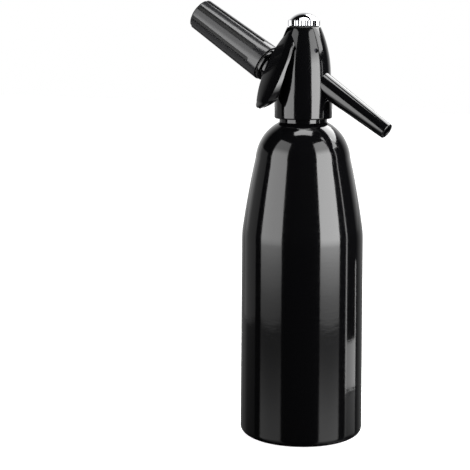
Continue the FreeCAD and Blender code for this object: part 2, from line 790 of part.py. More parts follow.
def make_charger():
    charger = turned("charger", [
        ("0", "charger_tip"),
        ("charger_neck_radius", "charger_tip"),
        ("charger_neck_radius", "charger_neck_end"),
        ("charger_radius", "charger_body"),
        ("charger_radius", "charger_end - charger_round", "charger_round", -1),
        ("charger_radius - charger_round", "charger_end"),
        ("0", "charger_end"),
    ], holder_frame)
    hollowed(charger, [
        ("0", "charger_tip - charger_wall"),
        ("pierced_radius", "charger_tip - charger_wall"),
        ("pierced_radius", "charger_tip + charger_wall"),
        ("charger_neck_radius - charger_wall", "charger_tip + charger_wall"),
        ("charger_neck_radius - charger_wall", "charger_neck_end"),
        ("charger_radius - charger_wall", "charger_body"),
        ("charger_radius - charger_wall", "charger_end - charger_round", "charger_round - charger_wall", -1),
        ("charger_radius - charger_round", "charger_end - charger_wall"),
        ("0", "charger_end - charger_wall"),
    ])
    pad = sleeve("holder_pad", "pad_radius", "charger_wall", "charger_end", "bore_end", holder_frame)
    return [charger, pad]


def make_piercer():
    """The block at the bottom of the holder's socket, with a hollow needle and a check valve."""
    block = turned("piercing_block", [
        ("gas_hole_radius", "block_start"),
        ("block_radius", "block_start"),
        ("block_radius", "socket_floor"),
        ("needle_radius + snug_gap", "socket_floor"),
        ("needle_radius + snug_gap", "check_end"),
        ("check_chamber", "check_end"),
        ("check_chamber", "check_start"),
        ("gas_hole_radius", "check_start"),
    ], holder_frame)
    needle = turned("piercing_needle", [
        ("needle_bore", "needle_start"),
        ("needle_radius", "needle_start"),
        ("needle_radius", "needle_tip - needle_radius"),
        ("needle_bore", "needle_tip"),
    ], holder_frame)
    seal = sleeve("charger_seal", "socket_radius - snug_gap", "charger_seal_bore", "socket_floor",
                  "charger_tip", holder_frame)
    ball = doc.addObject("Part::Sphere", "check_ball")
    ball.Label = "check_ball"
    ball.setExpression("Radius", bound("ball_radius"))
    ball.Placement = holder_frame.multiply(
        FreeCAD.Placement(FreeCAD.Vector(0, 0, number("ball_place")), FreeCAD.Rotation()))
    coil = "check_chamber - snug_gap"
    spring = sleeve("check_spring", coil, coil + " - check_spring_wire", "check_start",
                    "ball_place - ball_radius - ball_travel", holder_frame)
    ring = sleeve("holder_ring", "holder_ring_radius", "nose_radius + snug_gap", "boss_end", "holder_mouth",
                  holder_frame)
    return [block, needle, seal, ball, spring, ring]


def make_cap():
    """The chrome cap: a fluted band under a dome, on a hollow shank in the crown."""
    body = turned("top_cap", [
        ("shank_bore", "shank_bottom"),
        ("shank_radius", "shank_bottom"),
        ("shank_radius", "cap_base"),
        ("cap_radius", "cap_base"),
        ("cap_radius", "band_top"),
        ("cap_dome_radius", "band_top", "cap_dome_round", -1),
        ("0", "cap_top"),
        ("0", "cap_top - cap_wall"),
        ("shank_bore", "band_top - cap_wall"),
    ])
    sketch = body.newObject("Sketcher::SketchObject", "flute_circle")
    sketch.AttachmentSupport = (origin_plane(body, "XY_Plane"), [""])
    sketch.MapMode = "FlatFace"
    middle = FreeCAD.Vector(number("cap_radius + flute_radius / 3"), 0, 0)
    sketch.addGeometry(Part.Circle(middle, Z_AXIS, number("flute_radius")))
    sketch.addConstraint([
        Sketcher.Constraint("Horizontal", -1, 1, 0, 3),
        Sketcher.Constraint("DistanceX", -1, 1, 0, 3, middle.x),
        Sketcher.Constraint("Radius", 0, number("flute_radius")),
    ])
    sketch.setExpression("Constraints[1]", bound("cap_radius + flute_radius / 3"))
    sketch.setExpression("Constraints[2]", bound("flute_radius"))
    flute = body.newObject("PartDesign::Pocket", "flute")
    flute.Profile = sketch
    flute.Type = "ThroughAll"
    flute.Reversed = True
    before = body.Shape.Volume
    body.Tip = flute
    doc.recompute()
    if body.Shape.Volume >= before:
        raise RuntimeError("the cap's flute cuts nothing")
    flutes = body.newObject("PartDesign::PolarPattern", "flutes")
    flutes.Originals = [flute]
    flutes.Axis = (sketch, ["N_Axis"])
    flutes.Angle = 360
    flutes.Occurrences = int(number("flute_count"))
    body.Tip = flutes
    return body


def write_out(pieces):
    doc.recompute()
    for item in doc.Objects:
        if any(word in item.State for word in ("Invalid", "Error")):
            raise RuntimeError(f"{item.Label} did not build: {item.State}")
    for piece in pieces:
        if piece.Shape.isNull() or not piece.Shape.isValid():
            raise RuntimeError(f"{piece.Label} has no valid shape")
    for piece in pieces:
        piece.Shape.exportStep(f"parts/{piece.Label}.step")
        box = piece.Shape.BoundBox
        print(f"{piece.Label:18s} {piece.Shape.Volume / 1000:9.3f} cm3, solids {len(piece.Shape.Solids)}, "
              f"z {box.ZMin:7.2f} to {box.ZMax:7.2f}")


pieces = [make_bottle()]
pieces += make_dip_tube()
pieces.append(sleeve("head_washer", "rim_flange_radius", "washer_bore", "flange_top", "washer_top"))
pieces.append(make_head())
pieces += make_lever()
pieces += make_valve()
pieces += make_spout()
pieces.append(make_holder())
pieces += make_charger()
pieces += make_piercer()
pieces.append(make_cap())
pieces.append(sleeve("cap_washer", "cap_washer_radius", "shank_radius + snug_gap", "crown_height",
                     "cap_base"))
write_out(pieces)
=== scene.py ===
# %% [markdown]
# # Soda siphon
# A one litre siphon of black lacquered aluminium, with a screw-on head, a thumb lever,
# a drooping spout, a charger holder and a knurled chrome cap. The engineering model comes
# in first and never moves. The pieces that show are then modelled over it and
# ride on its bodies, so that every joint still works.

# %% Load the fixed frame
import json
import math
import bpy
from mathutils import Matrix, Vector


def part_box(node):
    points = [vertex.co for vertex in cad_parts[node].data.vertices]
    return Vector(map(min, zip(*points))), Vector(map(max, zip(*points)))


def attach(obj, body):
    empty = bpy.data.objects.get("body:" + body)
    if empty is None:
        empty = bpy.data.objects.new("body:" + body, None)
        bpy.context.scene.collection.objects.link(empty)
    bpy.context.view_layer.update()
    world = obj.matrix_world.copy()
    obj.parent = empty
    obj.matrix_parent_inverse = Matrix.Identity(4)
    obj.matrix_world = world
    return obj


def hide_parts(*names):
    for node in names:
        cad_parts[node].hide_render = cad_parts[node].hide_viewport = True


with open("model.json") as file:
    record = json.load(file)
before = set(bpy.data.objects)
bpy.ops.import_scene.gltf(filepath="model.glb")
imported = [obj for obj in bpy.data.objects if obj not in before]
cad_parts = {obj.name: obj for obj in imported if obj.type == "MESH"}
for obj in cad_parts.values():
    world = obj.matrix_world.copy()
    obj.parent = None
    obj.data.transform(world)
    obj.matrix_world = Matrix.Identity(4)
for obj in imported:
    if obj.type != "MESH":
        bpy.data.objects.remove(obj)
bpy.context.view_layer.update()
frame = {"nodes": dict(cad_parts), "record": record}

# %% [markdown]
# Lengths are written in millimetres, as on a drawing, and turned to metres in one place.
# Most pieces are turned on a lathe or moulded round an axis, so one helper draws half of
# a section, corner by corner, and spins it. An edge between two corners can be an arc.

# %% Millimetres, and arcs in a section
MM = 0.001
TURN = 2 * math.pi


def arc(start, end, radius, side, step=4.0):
    """Points of the short arc from start to end that bulges left (side 1) or right (-1)."""
    chord = Vector(end) - Vector(start)
    half = chord.length / 2
    left = Vector((-chord.y, chord.x)).normalized()
    centre = (Vector(start) + Vector(end)) / 2 - left * side * math.sqrt(radius ** 2 - half ** 2)
    sweep = 2 * math.asin(half / radius)
    count = max(2, math.ceil(math.degrees(sweep) / step))
    spoke = Vector(start) - centre
    points = []
    for index in range(count + 1):
        turn = -side * sweep * index / count
        points.append(tuple(centre + Matrix.Rotation(turn, 2) @ spoke))
    return points


# %% Spin a section round its axis
def start_mesh(name):
    """A mesh object with one selected vertex at the origin, in edit mode."""
    bpy.ops.object.select_all(action="DESELECT")
    bpy.ops.mesh.primitive_plane_add(size=MM)
    bpy.context.object.name = name
    bpy.ops.object.mode_set(mode="EDIT")
    bpy.ops.mesh.select_all(action="SELECT")
    bpy.ops.mesh.merge(type="CENTER")
    return bpy.context.object


def spun(name, section, place=None, steps=128):
    """Draws a section of (radius, height) corners, spins it and puts it in its place."""
    piece = start_mesh(name)
    radius, height = section[0]
    bpy.ops.transform.translate(value=(radius * MM, 0, height * MM))
    for before, after in zip(section, section[1:]):
        move = ((after[0] - before[0]) * MM, 0, (after[1] - before[1]) * MM)
        bpy.ops.mesh.extrude_region_move(TRANSFORM_OT_translate={"value": move})
    bpy.ops.mesh.select_all(action="SELECT")
    bpy.ops.mesh.spin(steps=steps, angle=TURN, center=(0, 0, 0), axis=(0, 0, 1))
    tidy_faces()
    if place is not None:
        settle(piece, place)
    return piece


def tidy_faces(gap=0.0005):
    """Merges doubled points and turns all faces outwards, then leaves edit mode."""
    bpy.ops.mesh.select_all(action="SELECT")
    bpy.ops.mesh.remove_doubles(threshold=gap * MM)
    bpy.ops.mesh.normals_make_consistent(inside=False)
    bpy.ops.object.mode_set(mode="OBJECT")


def settle(piece, place):
    """Moves a piece to its place and writes the place into its mesh."""
    bpy.ops.object.select_all(action="DESELECT")
    piece.select_set(True)
    bpy.context.view_layer.objects.active = piece
    piece.matrix_world = place
    bpy.ops.object.transform_apply(location=True, rotation=True, scale=True)


# %% Finish a piece: soft edges, smooth shading, the body it rides on
def soften(piece, width, angle=32, segments=3):
    """Rounds every edge sharper than the angle, as a cast or turned edge is."""
    bevel = piece.modifiers.new("edges", "BEVEL")
    bevel.width = width * MM
    bevel.segments = segments
    bevel.limit_method = "ANGLE"
    bevel.angle_limit = math.radians(angle)
    bevel.miter_outer = "MITER_ARC"
    apply_all(piece)


def apply_all(piece):
    """Applies all of a piece's modifiers, in order."""
    bpy.ops.object.select_all(action="DESELECT")
    piece.select_set(True)
    bpy.context.view_layer.objects.active = piece
    for modifier in list(piece.modifiers):
        bpy.ops.object.modifier_apply(modifier=modifier.name)


def finish_piece(piece, body, node, smooth=30):
    """Smooth shading, the body it rides on and the CAD node that it stands for."""
    bpy.ops.object.select_all(action="DESELECT")
    piece.select_set(True)
    bpy.context.view_layer.objects.active = piece
    bpy.ops.object.shade_smooth_by_angle(angle=math.radians(smooth))
    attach(piece, body)
    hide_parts(node)
    low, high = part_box(node)
    lowest = [min(vertex.co[axis] for vertex in piece.data.vertices) for axis in range(3)]
    highest = [max(vertex.co[axis] for vertex in piece.data.vertices) for axis in range(3)]
    gaps = [round((lowest[axis] - low[axis]) * 1000, 2) for axis in range(3)]
    gaps += [round((high[axis] - highest[axis]) * 1000, 2) for axis in range(3)]
    print(piece.name, len(piece.data.polygons), "faces; inside its CAD box by", gaps, "mm")


# %% [markdown]
# The spout and the charger holder are turned pieces too, but their axes lean. Each gets
# a placement: a point on the bottle's axis, and a turn that lays the piece's own Z axis
# along the spout or the holder.

# %% The leaning axes and the lever's own plane
SPOUT_HEIGHT, SPOUT_DROOP = 270.5, 32.0
HOLDER_HEIGHT, HOLDER_RISE = 254.6, 31.5
PIVOT_HEIGHT = 283.8
LEVER_TURN = -120.0


def leaning(height, angle):
    """A placement at this height on the bottle's axis, with its own Z axis tipped toward +X."""
    return Matrix.Translation((0, 0, height * MM)) @ Matrix.Rotation(math.radians(angle), 4, "Y")


spout_place = leaning(SPOUT_HEIGHT, 90 + SPOUT_DROOP)
holder_place = leaning(HOLDER_HEIGHT, HOLDER_RISE - 90)
lever_place = Matrix.Rotation(math.radians(LEVER_TURN), 4, "Z")

# %% [markdown]
# The bottle is one drawn and spun aluminium shell. Its side leans in very slightly, breaks
# at a soft crease into a taller cone, and closes in a dome under the screw neck. A black
# gloss shows every dent in a surface, so the section is drawn with fine steps and spun in
# many more than a matt piece would need.

# %% The bottle
outside = arc((40.4, 0), (45.4, 5), 5, -1, 6) + arc((44.4, 146), (43.65, 156), 65, -1, 1)
outside += arc((43.65, 156), (34.4, 206.5), 700, -1, 0.5)[1:]
outside += arc((34.4, 206.5), (17.3, 232.1), 31.5, -1, 2)[1:]
bottle_section = [(0, 0)] + outside + [(17.3, 247), (14, 247), (14, 230.5)]
bottle_section += [(32.8, 206.5), (42.05, 156), (42.8, 146), (43.8, 5), (40.4, 3), (0, 3)]
bottle = spun("bottle_shell", bottle_section, steps=192)
finish_piece(bottle, "bottle", "bottle")

# %% [markdown]
# The head is a casting: a screw collar, and above it a long ogive that narrows to the
# crown. The holder's boss grows out of its back. The pockets for the lever, the pin, the
# spout and the neck are cut out of it with boolean modifiers, as they are milled.

# %% The head's blank
head_section = [(0, 234.8)] + arc((19.75, 234.8), (20.95, 236), 1.2, -1, 10)
head_section += [(20.95, 251), (20.4, 256), (19.98, 262)]
head_section += arc((19.7, 268), (12.1, 300.2), 83, -1, 1.0)[:-1]
head_section += arc((12.2, 299.9), (11.7, 300.2), 0.5, -1, 15) + [(0, 300.2)]
head = spun("head_casting", head_section, steps=160)
boss_section = [(0, 11), (10.4, 11), (10.4, 33.1)] + arc((10.9, 33.6), (12.2, 33.6), 5, 1, 20)
boss_section += arc((12.2, 33.6), (12.6, 34), 0.4, -1, 20) + arc((12.6, 35.3), (12.2, 35.7), 0.4, -1, 20)
boss_section += [(10.6, 35.7), (10.6, 43.5), (0, 43.5)]
boss = spun("boss", boss_section, holder_place, steps=96)


# %% A boolean modifier, applied at once
def cut(piece, tool, operation="DIFFERENCE"):
    """Cuts a tool from a piece, or joins it on, and removes the tool."""
    change = piece.modifiers.new("cut", "BOOLEAN")
    change.operation = operation
    change.solver = "EXACT"
    change.object = tool
    apply_all(piece)
    bpy.data.objects.remove(tool)


cut(head, boss, "UNION")
print("head blank:", len(head.data.polygons), "faces")

# %% [markdown]
# Three kinds of cutter are needed: spun ones for the round bores, a slab of the lever's
# own side view for its pocket, and a bar along the pivot. A slab is a drawn outline,
# filled and extruded the same way to both sides.


# %% Slabs and bars
def slab(name, corners, half_width, place, role="side"):
    """A flat outline padded to both sides, drawn as (out, up) or, in the role "front", as (across, up)."""
    piece = start_mesh(name)
    lay = (lambda across, up: (across, 0, up)) if role == "side" else (lambda across, up: (0, across, up))
    first = lay(*corners[0])
    bpy.ops.transform.translate(value=[value * MM for value in first])
    for before, after in zip(corners, corners[1:]):
        move = [(there - here) * MM for here, there in zip(lay(*before), lay(*after))]
        bpy.ops.mesh.extrude_region_move(TRANSFORM_OT_translate={"value": move})
    bpy.ops.mesh.select_all(action="SELECT")
    bpy.ops.mesh.edge_face_add()
    along = (0, 1, 0) if role == "side" else (1, 0, 0)
    bpy.ops.transform.translate(value=[value * -half_width * MM for value in along])
    move = [value * 2 * half_width * MM for value in along]
    bpy.ops.mesh.extrude_region_move(TRANSFORM_OT_translate={"value": move})
    tidy_faces()
    settle(piece, place)
    return piece


def bar(name, radius, half_length, out, height, steps=64):
    """A cylinder along the lever's pivot axis."""
    section = [(0, -half_length), (radius, -half_length), (radius, half_length), (0, half_length)]
    turn = Matrix.Rotation(math.radians(-90), 4, "X")
    return spun(name, section, lever_place @ Matrix.Translation((out * MM, 0, height * MM)) @ turn, steps)


# %% The lever's leaf, seen square on
def leaf_outline(grow=0.0):
    """Half widths of the leaf by height, from its tip to its top, joined by arcs."""
    right = arc((0, 243.4 - grow), (8.6 + grow, 248.2), 16 + grow, -1, 4)
    right += arc((8.6 + grow, 248.2), (13.6 + grow, 269), 47.7 + grow, -1, 2)[1:]
    right += arc((13.6 + grow, 269), (5 + grow, 295), 33.7 + grow, -1, 2)[1:]
    right += arc((5 + grow, 295), (0, 300 + grow), 6 + grow, -1, 6)[1:]
    left = [(-across, up) for across, up in reversed(right[1:-1])]
    return right + left


# %% Mill the head
pocket = slab("pocket", [(8.1, 300.6), (8.0, 293.5), (10.6, 291.3), (18.98, 270.3), (18.98, 269.9),
                         (31.4, 269.9), (31.4, 300.6)], 21, lever_place)
cut(pocket, slab("pocket_leaf", leaf_outline(0.4), 60, lever_place, "front"), "INTERSECT")
cutters = [
    pocket,
    slab("slot", [(0, 273.4), (31, 273.4), (31, 293.4), (0, 293.4)], 4.4, lever_place),
    bar("slot_end", 5.6, 4.4, 0, PIVOT_HEIGHT),
    bar("pin_bore", 1.58, 21, 0, PIVOT_HEIGHT, 32),
    spun("neck_bore", [(0, 234), (17.6, 234), (17.6, 250.5), (9, 250.5), (9, 272), (8.2, 272), (8.2, 279.2),
                       (0, 279.2)]),
    spun("crown_bore", [(0, 294.4), (6.05, 294.4), (6.05, 301), (0, 301)], steps=64),
    spun("spout_bore", [(0, 0), (2.4, 0), (2.4, 14.1), (5.2, 14.1), (5.2, 17.5), (8.15, 17.5),
                        (8.15, 38), (0, 38)], spout_place),
    spun("holder_bore", [(0, 11), (1.2, 11), (1.2, 20), (5, 20), (5, 32), (5.4, 32), (5.4, 44), (0, 44)],
         holder_place, steps=64),
]
for tool in cutters:
    cut(head, tool)
finish_piece(head, "head", "head_body")

# %% [markdown]
# The lever is a hollow pressing: a leaf-shaped, slightly crowned thumb face, with a flank
# folded back round its rim. It starts as a square grid. Each row of the grid is laid at
# one height along the leaf and stretched to the leaf's width there, and the rim is then
# extruded back to the flank's edge. A solidify modifier gives the pressing its thickness.

# %% The lever's side view: where its face and its flank's edge lie at each height
face_line = arc((8.9, 300), (12.9, 295), 9, 1, 5)
face_line += arc((12.9, 295), (35, 247.2), 420, 1, 0.5)[1:] + [(38.2, 243.4)]
flank_line = [(8.3, 299.8), (9.4, 296.0), (10.9, 291.9), (15.9, 283.8), (21.4, 272.5), (23.3, 266.9),
              (25.1, 259.5), (25.9, 252.3), (26.6, 249.2), (32.0, 244.2)]


def out_at(line, height):
    """How far out a line of (out, height) points lies at one height."""
    for (out_a, high), (out_b, low) in zip(line, line[1:]):
        if height >= low:
            share = (high - height) / (high - low)
            return out_a + (out_b - out_a) * max(0.0, share)
    return line[-1][0]


leaf_edge = [(across, up) for across, up in leaf_outline() if across >= 0]


def half_width_at(height):
    """The leaf's half width at one height."""
    edge = sorted((up, across) for across, up in leaf_edge)
    for (low, near), (high, far) in zip(edge, edge[1:]):
        if low <= height <= high:
            return near + (far - near) * (height - low) / max(1e-9, high - low)
    return 0.0


# %% Lay a grid on the leaf
ROWS, COLUMNS = 48, 24
GRID_LOW, GRID_TOP = 243.45, 299.95
CROWN, FULL_CROWN_HALF, LEAST_HALF = 0.7, 9, 0.25
bpy.ops.object.select_all(action="DESELECT")
bpy.ops.mesh.primitive_grid_add(x_subdivisions=COLUMNS, y_subdivisions=ROWS, size=2)
lever = bpy.context.object
lever.name = "lever_pressing"
for vertex in lever.data.vertices:
    across, along = vertex.co.x, (vertex.co.y + 1) / 2
    ease = 0.5 - 0.5 * math.cos(math.pi * along)
    height = GRID_LOW + (GRID_TOP - GRID_LOW) * (0.5 * along + 0.5 * ease)
    half = max(LEAST_HALF, half_width_at(height))
    out = out_at(face_line, height) - CROWN * across ** 2 * min(1.0, half / FULL_CROWN_HALF)
    vertex.co = (out * MM, across * half * MM, height * MM)
print("lever face:", len(lever.data.polygons), "faces")

# %% Fold the flank back from the rim
LEAST_FLANK, PRESSING_WALL = 0.6, 2.0
bpy.ops.object.mode_set(mode="EDIT")
bpy.ops.mesh.select_all(action="SELECT")
bpy.ops.mesh.region_to_loop()
bpy.ops.mesh.extrude_region_move(TRANSFORM_OT_translate={"value": (0, 0, 0)})
bpy.ops.object.mode_set(mode="OBJECT")
for vertex in lever.data.vertices:
    if vertex.select:
        height = vertex.co.z / MM
        flank = min(out_at(flank_line, height), vertex.co.x / MM - LEAST_FLANK)
        vertex.co.x = flank * MM
bpy.ops.object.mode_set(mode="EDIT")
bpy.ops.mesh.select_all(action="SELECT")
bpy.ops.mesh.normals_make_consistent(inside=False)
bpy.ops.object.mode_set(mode="OBJECT")
wall = lever.modifiers.new("wall", "SOLIDIFY")
wall.thickness = PRESSING_WALL * MM
wall.offset = -1
wall.use_even_offset = False
apply_all(lever)
soften(lever, 0.3, angle=50, segments=3)
print("lever pressing:", len(lever.data.polygons), "faces")

# %% [markdown]
# Inside the pressing a web carries the pivot's hub, and a round nose on it pushes the
# valve's button. These hide in the head's slot, and show only from behind when pressed.

# %% The web, the hub and the nose
settle(lever, lever_place)
web = slab("web", [(0, 289), (12.5, 293), (17.08, 283.8), (19.6, 278.6), (8.6, 279.64), (0, 279.64)], 4,
           lever_place)
for part in (web, bar("hub", 5.2, 3.99, 0, PIVOT_HEIGHT), bar("nose", 2.1, 3.98, 6.5, 279.3, 32)):
    cut(lever, part, "UNION")
cut(lever, bar("pivot_bore", 1.58, 13.6, 0, PIVOT_HEIGHT, 32))
finish_piece(lever, "lever", "lever", smooth=35)

# %% [markdown]
# The spout is a tapered tube on a spigot. Its mouth is cut square, with a softened lip
# round the bore that the photograph shows as a thin bright ring.

# %% The spout
spout_section = [(3.7, 14.2), (5.15, 14.2), (5.15, 15.35), (4.15, 15.35), (4.15, 16.45), (5.15, 16.45),
                 (5.15, 17.5), (8.1, 17.5)]
spout_section += [(8.1 - 2.4 * share / 8, 17.5 + 61.6 * share / 8) for share in range(1, 8)]
spout_section += arc((5.7, 79.1), (5.0, 79.8), 0.7, -1, 15)
spout_section += [(4.3, 79.8), (4.0, 79.68), (3.78, 79.45), (3.7, 79.1), (3.7, 14.2)]
spout = spun("spout_turned", spout_section, spout_place, steps=96)
finish_piece(spout, "head", "spout_tube")

# %% [markdown]
# The charger holder is moulded: a slightly tapered cap with eight long finger grooves.
# Each groove has a round inner end and runs out at the domed end. Its cutter is a bar with
# a half round end, made once for each place round the axis.

# %% The charger holder's blank
HOLDER_MOUTH, HOLDER_RADIUS, HOLDER_NARROWING = 36.5, 13.5, 1.5
RIBS_START, RIBS_END = 36.9, 103.7
holder_section = [(10.9, HOLDER_MOUTH)] + arc((13.1, HOLDER_MOUTH), (HOLDER_RADIUS, RIBS_START), 0.4, -1, 15)
holder_section += [(HOLDER_RADIUS - HOLDER_NARROWING * share / 8, RIBS_START + 66.8 * share / 8)
                   for share in range(1, 8)]
holder_section += arc((HOLDER_RADIUS - HOLDER_NARROWING, RIBS_END), (10.6, 105.1), 1.4, -1, 10)
holder_section += arc((10.6, 105.1), (0, 106.1), 56.7, -1, 2)[1:]
holder_section += [(0, 102.1), (9.7, 102.1), (9.7, 44.7), (10.9, 44.1), (10.9, HOLDER_MOUTH)]
holder = spun("holder_moulding", holder_section, holder_place, steps=160)

# %% The finger grooves
GROOVES, GROOVE_HALF, GROOVE_DEPTH, GROOVE_START, GROOVE_TURN = 8, 1.6, 1.0, 9.0, -8.7
CUTTER_HALF, CUTTER_LENGTH, END_CORNERS = 6, 70, 16
taper = math.atan(HOLDER_NARROWING / 67.2)
groove_foot = Matrix.Translation(((HOLDER_RADIUS - GROOVE_DEPTH) * MM, 0, HOLDER_MOUTH * MM))
groove_place = groove_foot @ Matrix.Rotation(-taper, 4, "Y") @ Matrix.Translation((CUTTER_HALF * MM, 0, 0))
start = GROOVE_START + GROOVE_HALF
end_angles = [math.pi / 2 - math.pi * corner / END_CORNERS for corner in range(END_CORNERS + 1)]
groove_outline = [(-GROOVE_HALF * math.sin(angle), start - GROOVE_HALF * math.cos(angle))
                  for angle in end_angles]
groove_outline += [(GROOVE_HALF, start + CUTTER_LENGTH), (-GROOVE_HALF, start + CUTTER_LENGTH)]
for index in range(GROOVES):
    turn = Matrix.Rotation(math.radians(GROOVE_TURN + 360 * index / GROOVES), 4, "Z")
    cut(holder, slab("groove", groove_outline, CUTTER_HALF, holder_place @ turn @ groove_place, "front"))
soften(holder, 0.4, angle=50, segments=3)
finish_piece(holder, "holder", "charger_holder")

# %% [markdown]
# The cap is turned, knurled and chromed: forty straight flutes round the band, under a
# smooth dome. The band is spun with eight steps to a flute, and each of its points is
# drawn in by the flute's depth at its own angle.

# %% The cap
FLUTES, FLUTE_RADIUS = 40, 0.55
BAND_INSIDE = 11.2
cap_section = [(3.6, 294.7), (5.9, 294.7), (5.9, 300.9), (10.9, 300.9), (11.45, 301.2), (11.45, 302.2),
               (11.45, 304.2), (11.45, 304.9), (11.0, 305.2)]
cap_section += arc((10.55, 305.2), (0, 310.4), 13.3, -1, 3) + [(0, 309), (3.6, 303.8), (3.6, 294.7)]
cap = spun("cap_turned", cap_section, steps=FLUTES * 8)
pitch = TURN / FLUTES
for vertex in cap.data.vertices:
    radius = math.hypot(vertex.co.x, vertex.co.y) / MM
    if radius > BAND_INSIDE:
        angle = (math.atan2(vertex.co.y, vertex.co.x) + pitch / 2) % pitch - pitch / 2
        across = angle * radius
        reach = FLUTE_RADIUS ** 2 - across ** 2
        depth = max(0.0, math.sqrt(reach) - FLUTE_RADIUS / 3) if reach > 0 else 0.0
        vertex.co.x *= 1 - depth / radius
        vertex.co.y *= 1 - depth / radius
finish_piece(cap, "cap", "top_cap", smooth=24)

# %% [markdown]
# Now the finishes. Colours are written as sRGB hex values, as a colour card gives them,
# and one function turns them to the linear values that the renderer needs. One more
# small helper adds a node with its settings and its links.


# %% Colours and nodes
def linear(code):
    """The linear colour of an sRGB hex value."""
    parts = [int(code[place:place + 2], 16) / 255 for place in (1, 3, 5)]
    light = [value / 12.92 if value <= 0.04045 else ((value + 0.055) / 1.055) ** 2.4 for value in parts]
    return light + [1.0]


def add_node(tree, kind, settings=None, links=None):
    """Adds a node. Settings are its properties or sockets by name, links feed its sockets."""
    node = tree.nodes.new(kind)
    for name, value in (settings or {}).items():
        if isinstance(name, int) or name in node.inputs:
            node.inputs[name].default_value = value
        else:
            setattr(node, name, value)
    for name, source in (links or {}).items():
        tree.links.new(source, node.inputs[name])
    return node


def new_finish(name, settings):
    """A material with a Principled shader of these settings, and its object coordinates."""
    material = bpy.data.materials.new(name)
    material.use_nodes = True
    tree = material.node_tree
    tree.nodes.clear()
    shader = add_node(tree, "ShaderNodeBsdfPrincipled", settings)
    output = add_node(tree, "ShaderNodeOutputMaterial")
    tree.links.new(shader.outputs["BSDF"], output.inputs["Surface"])
    place = add_node(tree, "ShaderNodeTexCoord").outputs["Object"]
    return material, tree, shader, place


# %% [markdown]
# Gloss lacquer over spun aluminium: a black coat that mirrors the room, slightly wavy
# (orange peel) over about two millimetres. Marks of the spinning tool run round the bottle
# under it, and show most toward the foot.

# %% Lacquered aluminium for the bottle
lacquered, tree, shader, place = new_finish("black lacquer over spun aluminium", {
    "Base Color": linear("#060607"), "Roughness": 0.09, "IOR": 1.5})
rings = add_node(tree, "ShaderNodeMapping", {"Scale": (110, 110, 620)}, {"Vector": place})
ring_noise = add_node(tree, "ShaderNodeTexNoise", {"Scale": 1.0, "Detail": 3.0}, {"Vector": rings.outputs[0]})
peel = add_node(tree, "ShaderNodeTexNoise", {"Scale": 450.0, "Detail": 1.0}, {"Vector": place})
level = add_node(tree, "ShaderNodeSeparateXYZ", {}, {"Vector": place})
fading = add_node(tree, "ShaderNodeMapRange", {
    "From Min": 0.05, "From Max": 0.15, "To Min": 0.9, "To Max": 0.12}, {"Value": level.outputs["Z"]})
ring_bump = add_node(tree, "ShaderNodeBump", {"Distance": 0.00004},
                     {"Height": ring_noise.outputs[0], "Strength": fading.outputs[0]})
peel_bump = add_node(tree, "ShaderNodeBump", {"Strength": 0.3, "Distance": 0.00002},
                     {"Height": peel.outputs[0], "Normal": ring_bump.outputs[0]})
tree.links.new(peel_bump.outputs[0], shader.inputs["Normal"])
wear = add_node(tree, "ShaderNodeMapRange", {
    "From Min": 0.3, "From Max": 0.7, "To Min": 0.06, "To Max": 0.12}, {"Value": ring_noise.outputs[0]})
tree.links.new(wear.outputs[0], shader.inputs["Roughness"])
print("made", lacquered.name)

# %% [markdown]
# The head, spout and lever are zinc castings, stoved with the same black. A casting has no
# rings, only the coat's own slight waviness.

# %% Stoved enamel for the castings
enamel, tree, shader, place = new_finish("black stoving enamel on cast zinc", {
    "Base Color": linear("#060607"), "Roughness": 0.08, "IOR": 1.5})
wave = add_node(tree, "ShaderNodeTexNoise", {"Scale": 380.0, "Detail": 1.5}, {"Vector": place})
bump = add_node(tree, "ShaderNodeBump", {"Strength": 0.35, "Distance": 0.00002}, {"Height": wave.outputs[0]})
tree.links.new(bump.outputs[0], shader.inputs["Normal"])
patches = add_node(tree, "ShaderNodeTexNoise", {"Scale": 60.0, "Detail": 2.0}, {"Vector": place})
haze = add_node(tree, "ShaderNodeMapRange", {
    "From Min": 0.35, "From Max": 0.65, "To Min": 0.06, "To Max": 0.12}, {"Value": patches.outputs[0]})
tree.links.new(haze.outputs[0], shader.inputs["Roughness"])
print("made", enamel.name)

# %% [markdown]
# The charger holder is moulded in glass-filled nylon with a fine spark-eroded grain,
# about half a millimetre across, which turns a lamp's reflection into a soft sheen. The
# floors of its grooves are duller, and their colour is darkened there as painted shade. They are told from
# the ribs by how far they lie under the ribs' radius, which narrows along the holder's axis.

# %% Grained nylon for the charger holder
FLOOR_EDGE = {"From Min": 0.3 * MM, "From Max": 0.7 * MM}
nylon, tree, shader, place = new_finish("black grained nylon", {
    "Base Color": linear("#1e1e20"), "Roughness": 0.24, "IOR": 1.52})
grain = add_node(tree, "ShaderNodeTexNoise", {"Scale": 2200.0, "Detail": 2.0}, {"Vector": place})
bump = add_node(tree, "ShaderNodeBump", {"Strength": 0.2, "Distance": 0.00005}, {"Height": grain.outputs[0]})
tree.links.new(bump.outputs[0], shader.inputs["Normal"])
holder_axis = (-math.cos(math.radians(HOLDER_RISE)), 0, math.sin(math.radians(HOLDER_RISE)))
inward = add_node(tree, "ShaderNodeVectorMath", {"operation": "SUBTRACT", 1: (0, 0, HOLDER_HEIGHT * MM)},
                  {0: place})
along = add_node(tree, "ShaderNodeVectorMath", {"operation": "DOT_PRODUCT", 1: holder_axis},
                 {0: inward.outputs[0]})
aside = add_node(tree, "ShaderNodeVectorMath", {"operation": "CROSS_PRODUCT", 1: holder_axis},
                 {0: inward.outputs[0]})
distance = add_node(tree, "ShaderNodeVectorMath", {"operation": "LENGTH"}, {0: aside.outputs[0]})
